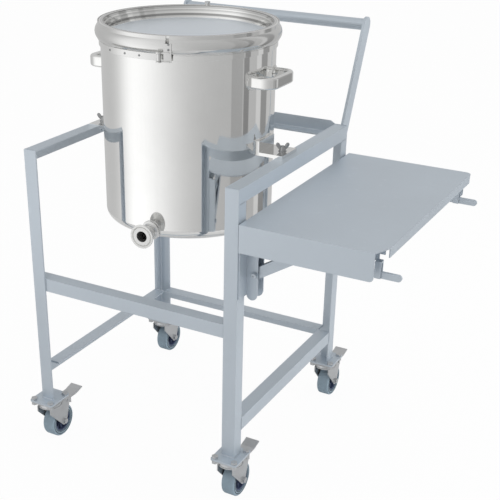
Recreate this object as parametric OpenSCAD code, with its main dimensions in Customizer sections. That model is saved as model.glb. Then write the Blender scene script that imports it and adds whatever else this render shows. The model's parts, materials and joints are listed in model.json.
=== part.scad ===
// Clamp-lid stainless steel container hung by two lugs in a wheeled stand of
// angle bar, with a push handle, a side table that folds down and four
// swivel casters with brakes.
// Millimetres. X to the table, Y to the push handle, Z up. The origin is on
// the floor, under the middle of the stand.

/* [Stand] */
// Width over the outer faces of the legs
stand_w = 506; // [486:2:560]
// Depth over the outer faces of the legs
stand_d = 518; // [500:2:600]
// Height of the side rails' top above the caster pads
rail_up = 594; // [540:2:700]
// Height of the lower rails' top above the caster pads
lower_up = 84; // [60:2:150]
// Height of the front crossbar's top above the caster pads
crossbar_up = 306; // [230:2:350]
// Width of each leg of the angle bar
angle = 30; // [25:1:36]
// Thickness of the angle bar
angle_t = 3; // [2:0.5:5]
// Root radius inside the angle bar
angle_r = 3; // [1:0.5:5]
// How far the rear rail's upright edge stands above the side rails
rear_rail_rise = 6.5; // [0:0.5:12]
// Slope length at each end of the rear rail's raised edge
rear_rail_slope = 11; // [4:1:20]

/* [Push handle] */
// Width of the flat bars that carry the grip
arm_w = 35; // [25:1:45]
// Thickness of those bars
arm_t = 6; // [4:0.5:10]
// Lean of the bars from upright, degrees
arm_lean = 23; // [10:1:30]
// Distance of the bars' middle planes from the stand's middle plane
arm_x = 235; // [226:1:240]
// Height of the grip's axis above the side rails
grip_rise = 203; // [120:1:260]
// Outer diameter of the grip tube
grip_d = 25.4; // [20:0.2:32]
// Wall of the grip tube
grip_wall = 1.5; // [1:0.1:3]
// How far the bars' front edge starts below the side rails' top
arm_foot_drop = 28; // [5:1:45]

/* [Casters] */
// Wheel diameter
wheel_d = 78; // [60:1:80]
// Width of the tyre
tyre_w = 30; // [20:1:34]
// Distance of the wheel's axle behind the swivel axis
trail = 25; // [15:1:32]
// Clearance between the tyre's top and the fork's head
crown_gap = 12.5; // [11:0.5:20]
// Length of the plate across the stand
pad_w = 62; // [56:1:80]
// Length of the plate along the stand
pad_d = 70; // [60:1:90]
// Thickness of the pad welded under each leg
pad_t = 4; // [3:0.5:8]
// Thickness of the caster's own plate
plate_t = 3; // [2:0.5:5]
// Half the distance between the caster's bolts across the stand
bolt_dx = 23; // [21:0.5:26]
// Half the distance between the caster's bolts along the stand
bolt_dy = 27; // [25:0.5:31]
// How far the pad reaches past the leg's outer side
pad_reach_x = 18; // [6:1:24]
// How far the pad reaches past the leg's front or rear face
pad_reach_y = 26; // [6:1:30]
// Thickness of the fork's cheeks
fork_t = 2.5; // [2:0.25:4]
// Gap from the tyre to each cheek
fork_gap = 2; // [1:0.25:4]
// Axle diameter
axle_d = 8; // [6:0.5:12]
// Reach of the brake pedal behind the swivel axis
pedal_reach = 104; // [90:1:120]
// Width of the brake pedal
pedal_w = 34; // [24:1:40]
// Thickness of the pedal's plate
pedal_t = 2.5; // [2:0.25:4]

/* [Container] */
// Inside diameter of the shell
tank_id = 360; // [320:2:380]
// Thickness of the shell
tank_t = 1.5; // [1:0.1:3]
// How far the container's axis lies in front of the stand's middle
tank_fwd = 15; // [0:1:30]
// Height of the clamp band's top above the side rails
tank_up = 250; // [180:2:320]
// Depth of the shell's bottom below the side rails' top
tank_down = 165; // [120:1:220]
// Knuckle radius at the bottom
knuckle_r = 20; // [8:1:30]
// Thickness of the bottom
bottom_t = 2; // [1.5:0.1:4]

/* [Lid and clamp band] */
// Height of the clamp band
band_h = 34; // [26:1:44]
// How far the clamp band stands out past its lips
band_bulge = 6; // [4:0.5:9]
// Thickness of the clamp band
band_t = 2; // [1:0.1:3]
// Depth of the lid's flat floor below the band's top
lid_recess = 24; // [14:1:32]
// Radius of the lid's flat floor
lid_floor_r = 163; // [120:1:165]
// Thickness of the lid
lid_t = 2; // [1.5:0.1:3]
// Height of the collar under the clamp band
bead_h = 10.5; // [6:0.5:16]

/* [Container fittings] */
// Bearing of the outlet round the shell, degrees from the table side
outlet_deg = -85; // [-110:1:-70]
// Height of the outlet's axis above the underside of the bottom
outlet_rise = 18; // [16:0.5:40]
// Bore of the outlet
outlet_bore = 23; // [18:0.5:26]
// Outer diameter of the outlet's clamp flange
flange_d = 50.5; // [44:0.5:64]
// How far the outlet stands out of the shell
outlet_len = 42; // [34:1:70]
// Height of the carry handles' middle above the side rails
bow_rise = 152; // [100:1:190]
// Half the distance between the two ends of a carry handle
bow_half = 50; // [36:1:62]
// How far a carry handle stands out of the shell
bow_out = 42; // [34:1:54]
// Height of the carry handle's flat-oval bar
bow_h = 24; // [16:1:30]
// Thickness of the carry handle's flat-oval bar
bow_t = 12; // [8:1:16]
// Thickness of the lugs that rest on the rails
lug_t = 7; // [4:0.5:12]
// Width of the lugs along the rails
lug_w = 68; // [40:1:90]
// Height of the lugs' upright leg against the shell
lug_up = 30; // [12:1:50]
// How far the lugs stop short of the rails' outer face
lug_short = 14; // [4:1:22]
// Diameter of the wing bolts
bolt_d = 8; // [6:0.5:10]
// Outer diameter of the tapped bosses on the rails
boss_d = 13; // [11:0.5:18]
// Height of the tapped bosses
boss_h = 15; // [8:1:25]

/* [Side table] */
// Distance of the table's top below the side rails' top
table_drop = 65; // [55:1:90]
// Distance of the table's inner edge from the legs
table_gap = 5; // [5:0.5:12]
// Width of the table out from the legs
table_w = 287; // [240:1:320]
// How far the table is longer than the stand at each end
table_over = 8; // [8:1:14]
// Thickness of the table's sheet
sheet_t = 2; // [1:0.25:3]
// Depth of the end flanges
end_flange_h = 57; // [48:1:62]
// Depth of the outer flange
edge_flange_h = 19; // [10:1:30]
// How far the end flanges stop short of the outer edge
flange_short = 15; // [8:1:30]
// Length of the clipped front corner along the outer edge
corner_clip = 37; // [15:1:60]
// Radius of the rear corner
corner_r = 14; // [4:1:15]

/* [Folding brackets] */
// Distance of the two brackets from the stand's middle plane
bracket_y = 212; // [180:1:214]
// Width of the gap between a bracket's cheeks
cheek_gap = 22; // [16:1:26]
// Thickness of the bracket's and table arm's plates
cheek_t = 2.5; // [2:0.25:4]
// Distance of the fold axis out from the legs
fold_out = 30; // [28:1:36]
// Depth of the fold axis below the table's top
fold_drop = 35; // [30:1:44]
// Depth of the strut's lower pivot below the fold axis
strut_drop = 80; // [70:1:90]
// Length of the strut between its pivots
strut_len = 160; // [140:1:170]
// Width of the strut
strut_w = 22; // [16:1:24]
// Angle of the strut above level when the table is up
strut_rise = 32; // [28:1:36]
// Diameter of the bracket's pins
pin_d = 8; // [6:0.5:10]
// Length of the release lever between its pin and the table's edge
lever_len = 108; // [60:1:112]
// How far the release lever stands out past the table's edge
lever_out = 27; // [15:1:50]
// Depth of the release lever's axis below the table's top
lever_drop = 53.5; // [48:0.5:54]
// Height of the release lever's bar
lever_h = 13; // [9:0.5:18]
// Thickness of the release lever's bar
lever_t = 5; // [3:0.5:8]

/* [Hidden] */
$fn = 64;

// Colours
painted = [0.72, 0.77, 0.82];
satin = [0.72, 0.75, 0.78];
polished = [0.80, 0.81, 0.82];
cast = [0.62, 0.63, 0.64];
rubber_grey = [0.50, 0.57, 0.61];
hub_blue = [0.20, 0.25, 0.40];
seal_white = [0.90, 0.90, 0.88];

// Clearances: a curved seat and a running pin
seat = 0.2;
running = 0.08;

// Stand
x1 = stand_w / 2;
y1 = stand_d / 2;
xi = x1 - angle;
yi = y1 - angle;

// Caster
swivel_x = x1 + pad_reach_x - pad_w / 2;
swivel_y = y1 + pad_reach_y - pad_d / 2;
wheel_r = wheel_d / 2;
hub_r = wheel_r - 12;
fork_in = tyre_w / 2 + fork_gap;
fork_out = fork_in + fork_t;
race_r = 24;
race_h = 6;
head_h = 8;
race_gap = 0.5;
head_z = wheel_d + crown_gap;
caster_h = head_z + head_h + race_gap + race_h + plate_t;
pad_z = caster_h;
leg_z = caster_h + pad_t;
rail_h = leg_z + rail_up;
lower_h = leg_z + lower_up;
crossbar_h = leg_z + crossbar_up;
kingpin_r = 6;
caster_bolt_r = 4;
boss_r = 10;
pedal_pivot_y = trail + 15;
pedal_pivot_z = head_z - 4.5;
pedal_pin_r = 3;
pedal_boss_r = 4.5;
shoe_gap = 6;
shoe_w = 6;

// Push handle
grip_z = rail_h + grip_rise;
arm_half_y = arm_w / 2 / cos(arm_lean);
arm_foot_z = rail_h - arm_foot_drop;
grip_y = y1 + arm_half_y + (grip_z - arm_foot_z) * tan(arm_lean);

// Container
tank_ir = tank_id / 2;
tank_r = tank_ir + tank_t;
tank_top = rail_h + tank_up;
tank_z = rail_h - tank_down;
wall_z = tank_z + knuckle_r;
lip_w = 3;
band_back = band_h - 7;
band_mid = tank_top - band_h + band_back / 2;
band_lip_r = tank_r + lip_w + 1.5;
band_r = band_lip_r + band_bulge;
band_arc = (pow(band_back / 2, 2) + pow(band_bulge, 2)) / (2 * band_bulge);
band_gap_deg = -71.7;
rim_r = tank_r + lip_w;
rim_top = tank_top - 12;
gasket_h = 5;
bead_top = tank_top - band_h - 2.5;
latch_r = band_r + 2;
latch_h = 13;
latch_t = 2.5;
latch_z = bead_top - bead_h + 2.5;
latch_from = -112.6;
latch_pivot_deg = -76;
block_deg = -69;
latch_pin_r = 2.5;
lid_steps = 3;
lid_rise = (lid_recess - 0.5) / lid_steps;
lid_edge_r = tank_ir - 3;
lid_tread = (lid_edge_r - lid_floor_r) / lid_steps;
lid_profile = [for (i = [0:lid_steps - 1], k = [0, 1])
    [lid_floor_r + i * lid_tread + k * lid_tread * 0.4, (i + k) * lid_rise]];
outlet_z = tank_z + outlet_rise;
bolt_x = xi;
lug_end = x1 - lug_short;

// Side table
table_top_z = rail_h - table_drop;
table_x0 = x1 + table_gap;
table_x1 = table_x0 + table_w;
table_y = y1 + table_over;
fold_x = x1 + fold_out;
fold_z = table_top_z - fold_drop;
strut_x = fold_x - 10;
strut_z = fold_z - strut_drop;
plate_back = 3;
plate_margin = 6;
plate_z = strut_z - 46;
cheek_y = cheek_gap / 2;
arm_cheek_y = cheek_y + cheek_t + 1;
arm_half = arm_cheek_y + cheek_t;
arm_depth = 26;
lever_x = table_x1 - lever_len;
lever_z = table_top_z - lever_drop;
lever_pin_r = 3;
guide_x = table_x1 - flange_short - 9;

// Mirrors its children to the left where s is negative
module side_x(s) {
    if (s < 0) mirror([1, 0, 0]) children();
    else children();
}

// Mirrors its children to the front where s is negative
module side_y(s) {
    if (s < 0) mirror([0, 1, 0]) children();
    else children();
}

// Section of the angle bar, its outer corner at the origin, legs along +x and +y
module angle_section() {
    difference() {
        union() {
            square([angle, angle_t]);
            square([angle_t, angle]);
            square(angle_t + angle_r);
        }
        translate([angle_t + angle_r, angle_t + angle_r]) circle(angle_r);
    }
}

// Extrudes an (x, z) section along Y, centred
module along_y(len) {
    translate([0, len / 2, 0]) rotate([90, 0, 0]) linear_extrude(len) children();
}

// Extrudes a (y, z) section along X, centred
module along_x(len) {
    translate([-len / 2, 0, 0]) rotate([90, 0, 90]) linear_extrude(len) children();
}

// Rectangle with round corners, centred
module round_rect(w, h, r) {
    square([w - 2 * r, h], center = true);
    square([w, h - 2 * r], center = true);
    for (sx = [-1, 1], sy = [-1, 1])
        translate([sx * (w / 2 - r), sy * (h / 2 - r)]) circle(r);
}

// Leg: its end flange runs to the rails' top, its side flange stops under the rail
module leg(sx, sy) {
    color(painted) side_x(sx) side_y(sy) {
        translate([x1, y1, leg_z]) rotate(180)
            linear_extrude(rail_h - angle - leg_z) angle_section();
        translate([xi, y1 - angle_t, leg_z]) cube([angle, angle_t, rail_h - leg_z]);
    }
}

// Side rail on top, notched where the tapped boss is welded in
module top_rail(sx) {
    color(painted) side_x(sx) difference() {
        along_y(2 * (y1 - angle_t)) translate([x1, rail_h]) rotate(180) angle_section();
        translate([bolt_x, -tank_fwd, rail_h - boss_h]) cylinder(h = boss_h + 1, d = boss_d);
    }
}

// Rear rail: one flange upright on the rear face, its raised edge sloped at both ends
module top_rail_rear() {
    edge_z = rail_h + rear_rail_rise;
    color(painted) difference() {
        along_x(2 * xi) translate([y1, edge_z - angle]) mirror([1, 0]) angle_section();
        for (s = [-1, 1]) side_x(s)
            translate([0, y1 + 1, 0]) rotate([90, 0, 0]) linear_extrude(angle_t + 2)
                polygon([[xi - rear_rail_slope, edge_z], [xi, rail_h], [xi + 1, rail_h],
                    [xi + 1, edge_z + 1], [xi - rear_rail_slope, edge_z + 1]]);
    }
}

module front_crossbar() {
    color(painted) along_x(2 * (x1 - angle_t - angle_r))
        translate([-y1 + angle_t, crossbar_h]) mirror([0, 1]) angle_section();
}

module lower_rail(sx) {
    color(painted) side_x(sx)
        along_y(2 * yi) translate([x1, lower_h]) rotate(180) angle_section();
}

module lower_rail_rear() {
    color(painted) along_x(2 * xi) translate([y1, lower_h]) rotate(180) angle_section();
}

// Puts its children at a caster's swivel axis, all casters trailing to the rear
module at_caster(sx, sy) {
    translate([sx * swivel_x, sy * swivel_y, 0]) children();
}

// Places its children at the four bolts of a caster
module at_bolts() {
    for (kx = [-1, 1], ky = [-1, 1]) translate([kx * bolt_dx, ky * bolt_dy]) children();
}

module plate_outline(w, d) {
    difference() {
        round_rect(w, d, 5);
        at_bolts() circle(caster_bolt_r + running);
    }
}

module caster_pads() {
    color(painted) for (sx = [-1, 1], sy = [-1, 1]) at_caster(sx, sy)
        translate([0, 0, pad_z]) linear_extrude(pad_t) plate_outline(pad_w, pad_d);
}

// Caster plate with the fixed half of the ball race and the kingpin
module caster_plates() {
    color(cast) for (sx = [-1, 1], sy = [-1, 1]) at_caster(sx, sy) {
        translate([0, 0, caster_h - plate_t]) linear_extrude(plate_t)
            plate_outline(pad_w - 3, pad_d - 3);
        translate([0, 0, caster_h - plate_t - race_h])
            cylinder(h = race_h, r1 = race_r - 3, r2 = race_r);
        translate([0, 0, head_z - 4]) cylinder(h = head_h + race_h + 4, r = kingpin_r);
        translate([0, 0, head_z - 4]) cylinder(h = 3.4, r = kingpin_r + 3);
    }
}

// Hexagon bolts through pad and plate, each one piece with its nut
module caster_bolts() {
    head_r = caster_bolt_r * 1.85;
    nut_h = 5.5;
    color(cast) for (sx = [-1, 1], sy = [-1, 1]) at_caster(sx, sy) at_bolts() {
        translate([0, 0, leg_z]) cylinder(h = 4.5, r = head_r, $fn = 6);
        translate([0, 0, caster_h - plate_t - nut_h]) cylinder(h = nut_h, r = head_r, $fn = 6);
        translate([0, 0, caster_h - plate_t - nut_h - 1])
            cylinder(h = plate_t + pad_t + nut_h + 2, r = caster_bolt_r);
    }
}

// Outline of a fork cheek in (y, z): broad at the head, narrowing to the axle
module cheek_outline() {
    difference() {
        union() {
            polygon([[-race_r, head_z + 3], [pedal_pivot_y + 7, head_z + 3],
                [pedal_pivot_y + 7, pedal_pivot_z - 6],
                [trail + boss_r, wheel_r], [trail - boss_r * 0.6, wheel_r - boss_r * 0.8],
                [-race_r, head_z - 12]]);
            translate([trail, wheel_r]) circle(boss_r);
        }
        translate([pedal_pivot_y, pedal_pivot_z]) circle(pedal_pin_r + running);
    }
}

module fork(sx, sy) {
    color(cast) at_caster(sx, sy) {
        difference() {
            union() {
                translate([0, 0, head_z]) cylinder(h = 3, r = race_r + 3);
                translate([0, 0, head_z]) cylinder(h = head_h, r1 = race_r + 3, r2 = race_r);
            }
            translate([0, 0, head_z - 1]) cylinder(h = head_h + 2, r = kingpin_r + running);
        }
        for (s = [-1, 1]) translate([s * (fork_in + fork_t / 2), 0, 0])
            along_x(fork_t) cheek_outline();
        difference() {
            translate([-fork_out, 0, head_z]) cube([2 * fork_out, pedal_pivot_y - 8, 3]);
            translate([0, 0, head_z - 1]) cylinder(h = 5, r = race_r);
        }
        translate([0, trail, wheel_r]) rotate([0, 90, 0])
            cylinder(h = 2 * fork_out + 6, d = axle_d, center = true);
        for (s = [-1, 1]) translate([s * (fork_out + 2.5), trail, wheel_r])
            rotate([0, 90, 0]) cylinder(h = 5, r = axle_d * 0.87, center = true, $fn = 6);
    }
}

// Brake pedal: a plate on a pin between the cheeks, with a shoe over the tyre
module pedal(sx, sy) {
    shoe_y = pedal_pivot_y + 12;
    shoe_z = wheel_r + sqrt(pow(wheel_r + shoe_gap, 2) - pow(shoe_y - trail, 2));
    under = pedal_pivot_z - pedal_t / 2;
    color(cast) at_caster(sx, sy) {
        translate([0, pedal_pivot_y, pedal_pivot_z]) rotate([0, 90, 0])
            cylinder(h = 2 * fork_out + 3, r = pedal_pin_r, center = true);
        translate([0, pedal_pivot_y, pedal_pivot_z]) rotate([0, 90, 0])
            cylinder(h = 2 * fork_in - 1, r = pedal_boss_r, center = true);
        along_x(2 * fork_in - 2)
            polygon([[pedal_pivot_y, under], [shoe_y, under], [shoe_y, shoe_z],
                [shoe_y + shoe_w, shoe_z - 4], [shoe_y + shoe_w, under], [pedal_reach - 24, under],
                [pedal_reach, under + 6], [pedal_reach - 1, under + 6 + pedal_t],
                [pedal_reach - 25, under + pedal_t], [pedal_pivot_y, under + pedal_t]]);
    }
}

module tyre(sx, sy) {
    shoulder = 4;
    color(rubber_grey) at_caster(sx, sy) translate([0, trail, wheel_r])
        rotate([0, 90, 0]) rotate_extrude() difference() {
            translate([hub_r, -tyre_w / 2]) square([wheel_r - hub_r, tyre_w]);
            for (s = [-1, 1]) translate([wheel_r - shoulder, s * (tyre_w / 2 - shoulder)])
                difference() {
                    translate([0, s > 0 ? 0 : -shoulder - 1]) square(shoulder + 1);
                    circle(shoulder);
                }
        }
}

module hub(sx, sy) {
    color(hub_blue) at_caster(sx, sy) translate([0, trail, wheel_r])
        rotate([0, 90, 0]) rotate_extrude()
            polygon([[axle_d / 2 + running, -fork_in + 1], [boss_r, -fork_in + 1], [boss_r, -4],
                [hub_r - 4, -4], [hub_r - 4, -tyre_w / 2 + 2], [hub_r - seat, -tyre_w / 2 + 2],
                [hub_r - seat, tyre_w / 2 - 2], [hub_r - 4, tyre_w / 2 - 2], [hub_r - 4, 4],
                [boss_r, 4], [boss_r, fork_in - 1], [axle_d / 2 + running, fork_in - 1]]);
}

// Two flat bars that lean back, their feet cut along the rear legs' face
module handle_arms() {
    side = [cos(arm_lean), -sin(arm_lean)] * arm_w / 2;
    back = [grip_y, grip_z] + side;
    front = [grip_y, grip_z] - side;
    color(painted) for (s = [-1, 1]) side_x(s) translate([arm_x, 0, 0]) along_x(arm_t) {
        polygon([back, front,
            [y1, front[1] - (front[0] - y1) / tan(arm_lean)],
            [y1, back[1] - (back[0] - y1) / tan(arm_lean)]]);
        translate([grip_y, grip_z]) circle(r = arm_w / 2 - 0.02);
    }
}

module handle_grip() {
    color(painted) translate([0, grip_y, grip_z]) rotate([0, 90, 0]) difference() {
        cylinder(h = 2 * (arm_x - arm_t / 2), d = grip_d, center = true);
        cylinder(h = 2 * arm_x, d = grip_d - 2 * grip_wall, center = true);
    }
}

module rail_bosses() {
    color(painted) for (s = [-1, 1]) side_x(s)
        translate([bolt_x, -tank_fwd, rail_h - boss_h]) difference() {
            cylinder(h = boss_h, d = boss_d - 2 * seat);
            translate([0, 0, -1]) cylinder(h = boss_h + 2, d = bolt_d + 2 * running);
        }
}

// The container's outside as one solid, for cutting what is welded to it
module tank_solid(grow = 0) {
    translate([0, -tank_fwd, 0]) rotate_extrude() {
        translate([0, wall_z]) square([tank_r + grow, tank_top - wall_z]);
        intersection() {
            union() {
                translate([0, tank_z - grow]) square([tank_r - knuckle_r, knuckle_r + 2 * grow]);
                translate([tank_r - knuckle_r, wall_z]) circle(knuckle_r + grow);
            }
            translate([0, tank_z - grow]) square([2 * tank_r, knuckle_r + 2 * grow]);
        }
    }
}

// Puts its children on the outlet's axis, +z pointing out of the shell
module at_outlet() {
    translate([0, -tank_fwd, outlet_z]) rotate([0, 90, outlet_deg]) children();
}

module outlet_hole() {
    at_outlet() translate([0, 0, tank_r / 2]) cylinder(h = tank_r, d = outlet_bore);
}

module tank_wall() {
    color(polished) difference() {
        translate([0, -tank_fwd, 0]) rotate_extrude()
            translate([tank_ir, wall_z]) square([tank_t, rim_top - wall_z]);
        outlet_hole();
    }
}

// Bottom: a flat floor turned up through a knuckle to meet the shell
module tank_bottom() {
    inner_r = knuckle_r - tank_t;
    color(polished) difference() {
        translate([0, -tank_fwd, 0]) rotate_extrude() {
            translate([0, tank_z]) square([tank_r - knuckle_r, bottom_t]);
            intersection() {
                translate([tank_r - knuckle_r, wall_z]) difference() {
                    circle(knuckle_r);
                    circle(inner_r);
                }
                translate([tank_r - knuckle_r, tank_z]) square(knuckle_r);
            }
        }
        outlet_hole();
    }
}

// Collar and curled rim round the mouth, held by the clamp band
module tank_rim() {
    color(polished) translate([0, -tank_fwd, 0]) rotate_extrude() {
        translate([tank_r, bead_top - bead_h]) square([lip_w, bead_h]);
        translate([tank_r, bead_top - bead_h]) square([lip_w - 1.6, rim_top - bead_top + bead_h]);
        translate([tank_r, tank_top - band_h + band_t + 1])
            square([lip_w, rim_top - tank_top + band_h - band_t - 1]);
    }
}

module lid_gasket() {
    color(seal_white) translate([0, -tank_fwd, rim_top]) rotate_extrude()
        translate([tank_ir - 2, 0]) square([rim_r - tank_ir + 1.5, gasket_h]);
}

// Lid: a flat floor let down inside the mouth through three steps
module lid() {
    floor_z = tank_top - lid_recess;
    top_z = lid_recess - 0.5;
    under = [for (i = [len(lid_profile) - 1:-1:0]) lid_profile[i] + [lid_t * 0.7, -lid_t]];
    color(satin) translate([0, -tank_fwd, floor_z]) rotate_extrude() {
        polygon(concat([[0, 0]], lid_profile, [[lid_edge_r, top_z]],
            [[lid_edge_r, top_z - lid_t]], under, [[0, -lid_t]]));
        translate([lid_edge_r - 1, lid_recess - 12 + gasket_h + seat])
            square([rim_r - lid_edge_r, top_z - lid_recess + 12 - gasket_h - seat]);
    }
}

// Section of the clamp band: a curved back, a lip under the collar and a tall thin lip
module band_section() {
    centre = band_r - band_arc;
    half = band_back / 2;
    intersection() {
        translate([centre, band_mid]) difference() {
            circle(band_arc, $fn = 96);
            circle(band_arc - band_t, $fn = 96);
        }
        translate([band_lip_r - band_t, band_mid - half]) square([band_t + band_bulge + 1, band_back]);
    }
    translate([rim_r - lip_w + 2, band_mid - half])
        square([band_lip_r - rim_r + lip_w - 1, band_t / 2]);
    translate([band_lip_r - band_t, band_mid + half - 1])
        square([band_t, tank_top - band_mid - half + 1]);
}

// Clamp band, split at the latch, with the knuckle of its hinge at the back
module clamp_band() {
    gap = 2;
    knuckle = 6;
    color(polished) translate([0, -tank_fwd, 0]) {
        rotate([0, 0, band_gap_deg + gap / 2]) rotate_extrude(angle = 360 - gap) band_section();
        rotate([0, 0, band_gap_deg + 180]) translate([band_r + 1, 0, band_mid - band_back / 2 + 3])
            cylinder(h = tank_top - band_mid + band_back / 2 + 3, r = knuckle);
    }
}

// A plate that follows the container's curve: inner radius, thickness, height, two bearings
module curved_plate(r, t, h, from, to) {
    translate([0, -tank_fwd, 0]) rotate([0, 0, from]) rotate_extrude(angle = to - from)
        translate([r, 0]) square([t, h]);
}

// Puts its children on the latch's pin
module at_latch_pin() {
    translate([0, -tank_fwd, 0]) rotate([0, 0, latch_pivot_deg])
        translate([latch_r + latch_pin_r + 1.5, 0, 0]) children();
}

// Bracket on the band's end, with two ears for the lever's pin
module latch_block() {
    ear_t = 2.5;
    ear_gap = 0.5;
    color(polished) {
        translate([0, 0, latch_z - ear_t - 1])
            curved_plate(band_r + seat, 3, band_mid + 8 - latch_z + ear_t + 1,
                latch_pivot_deg + 2.5, block_deg);
        for (z = [latch_z - ear_t - ear_gap, latch_z + latch_h + ear_gap]) translate([0, 0, z]) {
            curved_plate(band_r + seat + 1, 5, ear_t, latch_pivot_deg - 1, block_deg - 1);
            at_latch_pin() cylinder(h = ear_t, r = latch_pin_r + 3);
        }
        at_latch_pin() translate([0, 0, latch_z - ear_t])
            cylinder(h = latch_h + 2 * ear_t, r = latch_pin_r);
    }
}

// Lever: a curved strip that lies along the band, with a knuckle round the pin
module latch_lever() {
    color(polished) difference() {
        union() {
            translate([0, 0, latch_z])
                curved_plate(latch_r, latch_t, latch_h, latch_from, latch_pivot_deg);
            at_latch_pin() translate([0, 0, latch_z]) cylinder(h = latch_h, r = latch_pin_r + 2);
        }
        at_latch_pin() translate([0, 0, latch_z - 1])
            cylinder(h = latch_h + 2, r = latch_pin_r + running);
    }
}

// Outlet: a trumpet-shaped foot on the shell, a neck and a clamp flange with a seal ring
module outlet_ferrule() {
    neck_r = outlet_bore / 2 + 1.6;
    flare = 7;
    foot = tank_r + 1;
    face = tank_r + outlet_len;
    flange_t = 2.8;
    bevel = 4;
    color(polished) difference() {
        at_outlet() rotate_extrude() difference() {
            union() {
                polygon([[outlet_bore / 2, tank_r - 8], [neck_r + flare, tank_r - 8],
                    [neck_r + flare, foot + 0.8], [neck_r, foot + flare], [neck_r, face - 8],
                    [flange_d / 2 - 1, face - flange_t - bevel / 2],
                    [flange_d / 2, face - flange_t], [flange_d / 2, face], [outlet_bore / 2, face]]);
            }
            translate([neck_r + flare, foot + flare + 0.8]) circle(flare);
            translate([flange_d / 2 * 0.8, face]) circle(1.2);
        }
        tank_solid(seat / 2);
    }
}

// Bow-shaped handle of flat-oval bar, with a weld disc at each end
module bow_section() {
    round_rect(bow_t, bow_h, 5);
}

module carry_bow() {
    corner = 20;
    out_x = tank_r + bow_out - bow_t / 2;
    leg_in = tank_r * 0.9;
    for (s = [-1, 1]) {
        translate([out_x - corner, s * (bow_half - corner), 0])
            rotate([0, 0, s > 0 ? 0 : -90]) rotate_extrude(angle = 90)
                translate([corner, 0]) bow_section();
        translate([leg_in, s * bow_half, 0]) rotate([90, 0, 90])
            linear_extrude(out_x - corner - leg_in) bow_section();
        rotate([0, 0, s * asin(bow_half / tank_r)]) translate([tank_r - 6, 0, 0])
            rotate([0, 90, 0]) cylinder(h = 8.5, r = bow_h / 2 + 3);
    }
    translate([out_x, 0, 0]) rotate([90, 0, 0])
        linear_extrude(2 * (bow_half - corner), center = true) bow_section();
}

module carry_handles() {
    color(polished) difference() {
        for (s = [-1, 1]) side_x(s) translate([0, -tank_fwd, rail_h + bow_rise]) carry_bow();
        tank_solid(seat / 2);
    }
}

// Lugs: plates scribed to the shell that rest on the side rails
module lugs() {
    color(polished) difference() {
        for (s = [-1, 1]) side_x(s) difference() {
            union() {
                translate([tank_r * 0.9, -tank_fwd - lug_w / 2, rail_h])
                    cube([lug_end - tank_r * 0.9, lug_w, lug_t]);
                translate([tank_r * 0.9, -tank_fwd - lug_w / 2, rail_h])
                    cube([tank_r * 0.1 + lug_t * 0.7, lug_w, lug_up]);
            }
            translate([bolt_x, -tank_fwd, rail_h - 1]) cylinder(h = lug_t + 2, d = bolt_d + 2 * running);
        }
        tank_solid(seat / 2);
    }
}

// Wing bolt: a shank through the lug into the boss, a hub and two wings
module wing_bolts() {
    wing_t = 3;
    color(cast) for (s = [-1, 1]) side_x(s) translate([bolt_x, -tank_fwd, rail_h]) {
        translate([0, 0, -boss_h + 1]) cylinder(h = boss_h + lug_t, d = bolt_d);
        translate([0, 0, lug_t]) cylinder(h = 9, r1 = 7, r2 = 5.5);
        for (k = [-1, 1]) side_y(k) translate([wing_t / 2, 0, lug_t]) rotate([90, 0, -90])
            linear_extrude(wing_t) {
                polygon([[-2, 2], [-5, 3], [-13, 12], [-9, 16], [-2, 8]]);
                translate([-11, 14]) circle(3.2);
            }
    }
}

// Mounting plate with two cheeks, one bracket at each end of the table
module folding_brackets() {
    color(painted) for (s = [-1, 1]) side_y(s) {
        translate([x1, bracket_y - cheek_y - cheek_t - plate_margin, plate_z])
            cube([plate_back, y1 - angle_t - bracket_y + cheek_y + cheek_t + plate_margin,
                fold_z + 20 - plate_z]);
        for (k = [-1, 1]) translate([0, bracket_y + k * (cheek_y + cheek_t / 2) + cheek_t / 2, 0])
            rotate([90, 0, 0]) linear_extrude(cheek_t) bracket_cheek();
        for (p = [[fold_x, fold_z], [strut_x, strut_z]])
            translate([p[0], bracket_y, p[1]]) rotate([90, 0, 0])
                cylinder(h = 2 * (arm_cheek_y + cheek_t + 1.5), d = pin_d, center = true);
    }
}

// Cheek in (x, z): a strip down the plate with an ear at the fold axis
module bracket_cheek() {
    ear_r = 9;
    depth = 27;
    union() {
        translate([x1 + plate_back, strut_z - 44])
            square([depth - plate_back - 6, fold_z + 16 - strut_z + 44]);
        translate([x1 + plate_back, strut_z - 44]) square([depth - plate_back, fold_z - strut_z + 44]);
        translate([x1 + depth - 10, fold_z - ear_r]) square([fold_out - depth + 10, 2 * ear_r]);
        translate([fold_x, fold_z]) circle(ear_r);
        translate([x1 + depth / 2 + 1, strut_z - 44]) circle(depth / 2 - 2);
    }
}

// Sheet top with two deep end flanges and a shallow outer flange
module table_top() {
    inset = table_x1 - flange_short;
    color(painted) {
        translate([0, 0, table_top_z - sheet_t]) linear_extrude(sheet_t) {
            polygon([[table_x0, -table_y], [inset, -table_y], [table_x1, -table_y + corner_clip],
                [table_x1, table_y - corner_r], [table_x1 - corner_r, table_y], [table_x0, table_y]]);
            translate([table_x1 - corner_r, table_y - corner_r]) intersection() {
                circle(corner_r);
                square(corner_r + 1);
            }
        }
        for (s = [-1, 1]) side_y(s) translate([0, table_y, 0]) rotate([90, 0, 0])
            linear_extrude(sheet_t) end_flange();
        translate([table_x1 - sheet_t, -table_y + corner_clip, table_top_z - edge_flange_h])
            cube([sheet_t, 2 * table_y - corner_clip - corner_r, edge_flange_h - sheet_t / 2]);
    }
}

// End flange in (x, z), its lower outer corner rounded
module end_flange() {
    r = 8;
    w = table_w - flange_short;
    translate([table_x0, table_top_z - end_flange_h]) {
        square([w - r, end_flange_h]);
        translate([0, r]) square([w, end_flange_h - r]);
        translate([w - r, r]) circle(r);
    }
}

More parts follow.
